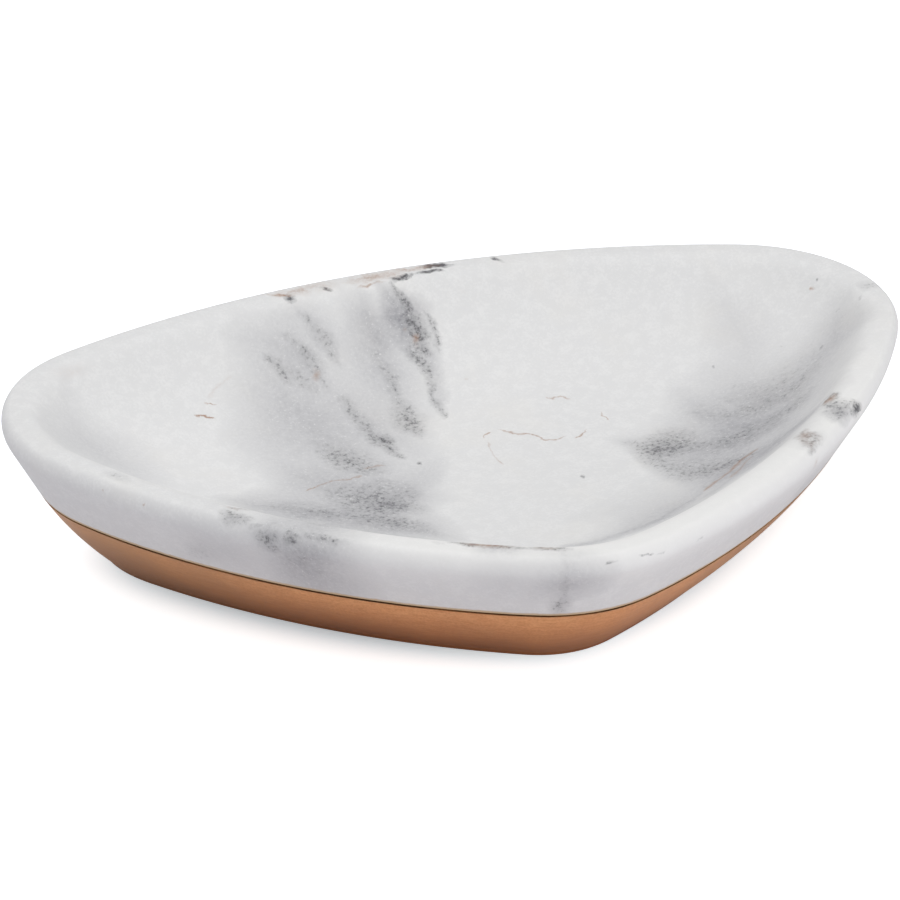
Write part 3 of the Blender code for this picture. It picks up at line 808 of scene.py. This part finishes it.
def marble_finish():
    """White crystals, then smoke and painted shade, dark grains and rust along the marks, a painted
    highlight on the front, and a gold band at the seam.
    """
    stone = finish("white_marble")
    object_place = stone.node("TexCoord", output="Object")
    drift = stone.noise(object_place, *DRIFT_NOISE, "Color")
    drifted = stone.arrows("MULTIPLY_ADD", drift, (DRIFT,) * 3, object_place)
    place = stone.arrows("SUBTRACT", drifted, (DRIFT / 2,) * 3)

    smoke_and_shade = together(stone, place, SMOKE_AND_SHADE, SMOKE_BLOTCHES, SMOKE_BLEND)
    dark = together(stone, place, DARK, DARK_BLOTCHES)
    rust = together(stone, place, RUST, RUST_BLOTCHES)

    cloud = stone.noise(object_place, *CLOUD_NOISE)
    mottle = stone.noise(object_place, *MOTTLE_NOISE)
    grain = stone.noise(object_place, *GRAIN_NOISE)
    clump = stone.noise(object_place, *CLUMP_NOISE)

    # The clean stone, with clearer crystals and cream clouds
    crystals = stone.within(mottle * 0.55 + grain * 0.45, *CRYSTAL_BAND)
    body = stone.mix(crystals * CRYSTAL_COVER, STONE_WHITE, CRYSTAL_WHITE)
    body = stone.mix(stone.within(cloud, *CREAM_BAND) * CREAM_COVER, body, STONE_CREAM)

    # Painted highlight: a lighter band on the front of the outer wall, below the rim
    height = height_of(stone, object_place)
    outside = stone.within(away_from_base(stone, object_place), *OVERHANG)
    front = side_of(stone, object_place, HIGHLIGHT_SIDE)
    painted_front_highlight = stone.within(height, *HIGHLIGHT_HEIGHTS) * stone.within(front, *HIGHLIGHT_BAND)
    body = stone.mix(painted_front_highlight * outside * HIGHLIGHT_COVER, body, HIGHLIGHT_WHITE)

    # Smoke and painted shade, uneven like the stone's own mottle
    haze_and_shade = smoke_and_shade * (2 - smoke_and_shade) * (0.10 + mottle * 0.90 + clump * 0.90)
    body = stone.mix(haze_and_shade, body, SMOKE_AND_SHADE_GREY)

    # Dark marks: a slate tint, black granules near it and clear flecks in the smoke
    broken = dark * (0.25 + mottle * 1.5)
    body = stone.mix(broken * (0.20 + clump * 0.95), body, SLATE_GREY)
    granules = stone.within(clump + broken * 0.20, *GRANULE_BAND)
    granules *= stone.within(dark, *GRANULE_DARK)
    body = stone.mix(granules * GRANULE_COVER, body, GRANULE_BLACK)
    flecks = stone.within(grain, *FLECK_BAND) * stone.within(smoke_and_shade, *FLECK_SMOKE)
    body = stone.mix(flecks * FLECK_COVER, body, CRYSTAL_WHITE)

    # Rust broken up by the grain, and a thin gold band along the stone's lower edge
    stain = stone.within(rust * (0.30 + grain * 1.4), *RUST_BAND)
    body = stone.mix(stain * RUST_COVER, body, RUST_BROWN)
    gold_edge = 1 - stone.within(height - mottle * GOLD_EDGE_REACH, STONE_EDGE, STONE_EDGE + GOLD_EDGE_REACH)
    body = stone.mix(gold_edge * outside * GOLD_EDGE_COVER, body, EDGE_GOLD)

    # A few crystals in a hundred catch the light
    sparkle = stone.node("TexVoronoi", (), {
        "Vector": object_place, "Scale": CRYSTALS_PER_METRE}, "Color")
    glint = stone.within(sparkle, *GLINT_BAND)
    rough = 0.58 + (grain - 0.5) * 0.20 - glint * 0.18
    relief = (grain - 0.5) * 0.5 + mottle * 0.5
    bump = stone.bump(0.30, STONE_BUMP, relief)
    stone.shade({"Base Color": body, "Roughness": rough, "Normal": bump, "Specular IOR Level": 0.3})
    return stone.owner


def copper_finish():
    """Brushed satin copper, with painted shade towards the foot and on the sides and back, and
    darker along the upper edge at the seam.
    """
    metal = finish("satin_copper")
    place = metal.node("TexCoord", output="Object")
    speckle = metal.noise(place, *SPECKLE_NOISE)
    patina = metal.noise(place, *PATINA_NOISE)
    brush = metal.node("Mapping", (), {"Vector": place, "Scale": BRUSH_STRETCH})
    brushed = metal.noise(brush, *BRUSH_NOISE)
    tone = metal.within(speckle * 0.6 + brushed * 0.4, *COPPER_BAND)
    body = metal.mix(tone, COPPER_DEEP, COPPER_BRIGHT)

    height = height_of(metal, place)
    # Painted shade: darker and browner towards the foot, standing in for the floor's shadow that
    # the metal mirrors there
    wandering = height + (patina - 0.5) * FOOT_SHADE_WANDER
    painted_foot_shade = 1 - metal.within(wandering, COPPER_BOTTOM, COPPER_EDGE)
    body = metal.mix(painted_foot_shade * FOOT_SHADE_COVER, body, COPPER_FOOT_SHADE)
    # Painted shade: the copper darker on its sides and back than at its front
    front = side_of(metal, place, COPPER_FRONT)
    painted_side_shade = 1 - metal.within(front + (patina - 0.5) * 0.3, *BRIGHT_BAND)
    body = metal.mix(painted_side_shade * SIDE_SHADE_COVER, body, COPPER_SIDE_SHADE)
    # Darker along the cup's upper edge at the seam, broken up by the patina noise
    darker_upper_edge = metal.within(height, COPPER_EDGE - COPPER_ARRIS, COPPER_EDGE - COPPER_ARRIS / 2)
    body = metal.mix(darker_upper_edge * (patina * 2.2 - 0.3), body, COPPER_EDGE_DARK)

    rough = 0.42 + (speckle - 0.5) * 0.25 + (patina - 0.5) * 0.2
    bump = metal.bump(0.3, COPPER_BUMP, speckle + brushed * 0.4)
    metal.shade({"Base Color": body, "Metallic": 1.0, "Roughness": rough, "Normal": bump})
    return metal.owner


def epoxy_finish():
    """Brown glue, lumpy and unevenly shiny."""
    glue = finish("aged_epoxy")
    place = glue.node("TexCoord", output="Object")
    lumps = glue.noise(place, *LUMP_NOISE)
    body = glue.mix(glue.within(lumps, *LUMP_BAND), EPOXY_DARK, EPOXY_LIGHT)
    bump = glue.bump(0.6, EPOXY_BUMP, lumps)
    glue.shade({"Base Color": body, "Roughness": 0.45 + (lumps - 0.5) * 0.3, "Normal": bump})
    return glue.owner


def silicone_finish():
    """Greyish soft feet with dust on them."""
    rubber = finish("clear_silicone")
    place = rubber.node("TexCoord", output="Object")
    dust = rubber.noise(place, *DUST_NOISE)
    body = rubber.mix(rubber.within(dust, *DUST_BAND), SILICONE_CLEAN, SILICONE_DUSTY)
    bump = rubber.bump(0.3, SILICONE_BUMP, dust)
    rubber.shade({"Base Color": body, "Roughness": 0.42 + dust * 0.2, "Normal": bump})
    return rubber.owner


def dressed(piece, material):
    piece.data.materials.clear()
    piece.data.materials.append(material)


dressed(marble, marble_finish())
dressed(copper, copper_finish())
silicone = silicone_finish()
for pad in pads:
    dressed(pad, silicone)
epoxy = epoxy_finish()
for node in ("epoxy_bed", "epoxy_seam"):
    bead = bpy.data.objects[node]
    for slot in bead.material_slots:
        slot.material = epoxy


def photo_camera():
    lens = bpy.data.cameras.new("camera")
    lens.lens = CAMERA_LENS
    lens.sensor_width = CAMERA_SENSOR
    camera = bpy.data.objects.new("camera", lens)
    camera.location = CAMERA_AT
    camera.rotation_euler = (CAMERA_AIM - CAMERA_AT).to_track_quat("-Z", "Y").to_euler()
    bpy.context.scene.collection.objects.link(camera)
    bpy.context.scene.camera = camera


def seen_directly(studio):
    """1 for the camera, mirrors and glass, and 0 where the surface only lights the dish."""
    seen = studio.node("LightPath", output="Is Camera Ray")
    for ray in ("Is Glossy Ray", "Is Transmission Ray"):
        seen = studio.sum("MAXIMUM", seen, studio.node("LightPath", output=ray))
    return seen


def paper_finish():
    """White paper with one glow for mirrors and one for the eye; neither lights the dish."""
    paper = finish("white_paper")
    place = paper.node("TexCoord", output="Object")
    fibre = paper.noise(place, *FIBRE_NOISE)
    oval = paper.arrows("LENGTH", paper.arrows("MULTIPLY", place, SHADOW_SPREAD), output="Value")
    # Painted reflection: the glow that the copper mirrors is stronger in front of the dish than
    # behind it
    front = paper.within(side_of(paper, place, GLOW_SIDE), *GLOW_BAND)
    around = paper.mix(front, FLOOR_GLOW_BEHIND, FLOOR_GLOW)
    mirrored = paper.mix(seen_directly(paper) * paper.within(oval, *SHADOW_FADE), BLACK, around)
    open_paper = paper.within(away_from_base(paper, place), *CONTACT_SHADOW)
    seen = paper.mix(open_paper, CONTACT_GLOW, FLOOR_GLOW_SEEN)
    glow = paper.mix(paper.node("LightPath", output="Is Camera Ray"), mirrored, seen)
    paper.shade({"Base Color": paper.mix(fibre, PAPER_WHITE, PAPER_SHADE), "Roughness": 0.95,
                 "Specular IOR Level": 0.1, "Emission Color": glow, "Emission Strength": 1.0})
    return paper.owner


def studio_floor():
    bpy.ops.object.select_all(action="DESELECT")
    bpy.ops.mesh.primitive_plane_add(size=FLOOR_SIZE)
    floor = bpy.context.object
    floor.name = "studio_floor"
    dressed(floor, paper_finish())


def studio_world():
    world = bpy.data.worlds.new("studio")
    air = Finish(world)
    background = air.nodes["Background"].inputs
    air.feed(background["Color"], air.mix(seen_directly(air), WORLD_LIGHT, WHITE))
    air.feed(background["Strength"], 1.0)
    bpy.context.scene.world = world


def softbox(name, azimuth, elevation, watts):
    """A square lamp on a sphere round the dish; azimuth 0 is in front of it."""
    turn, rise = math.radians(azimuth), math.radians(elevation)
    aside, ahead = math.sin(turn), -math.cos(turn)
    place = Vector((aside * math.cos(rise), ahead * math.cos(rise), math.sin(rise)))
    light = bpy.data.lights.new(name, "AREA")
    light.size = LAMP_SIZE
    light.energy = watts
    holder = bpy.data.objects.new(name, light)
    holder.location = place * LAMP_DISTANCE
    holder.rotation_euler = (-place).to_track_quat("-Z", "Y").to_euler()
    bpy.context.scene.collection.objects.link(holder)


photo_camera()
studio_floor()
studio_world()
for name, azimuth, elevation, watts in LAMPS:
    softbox(name, azimuth, elevation, watts)
bpy.context.scene.view_settings.view_transform = "Standard"
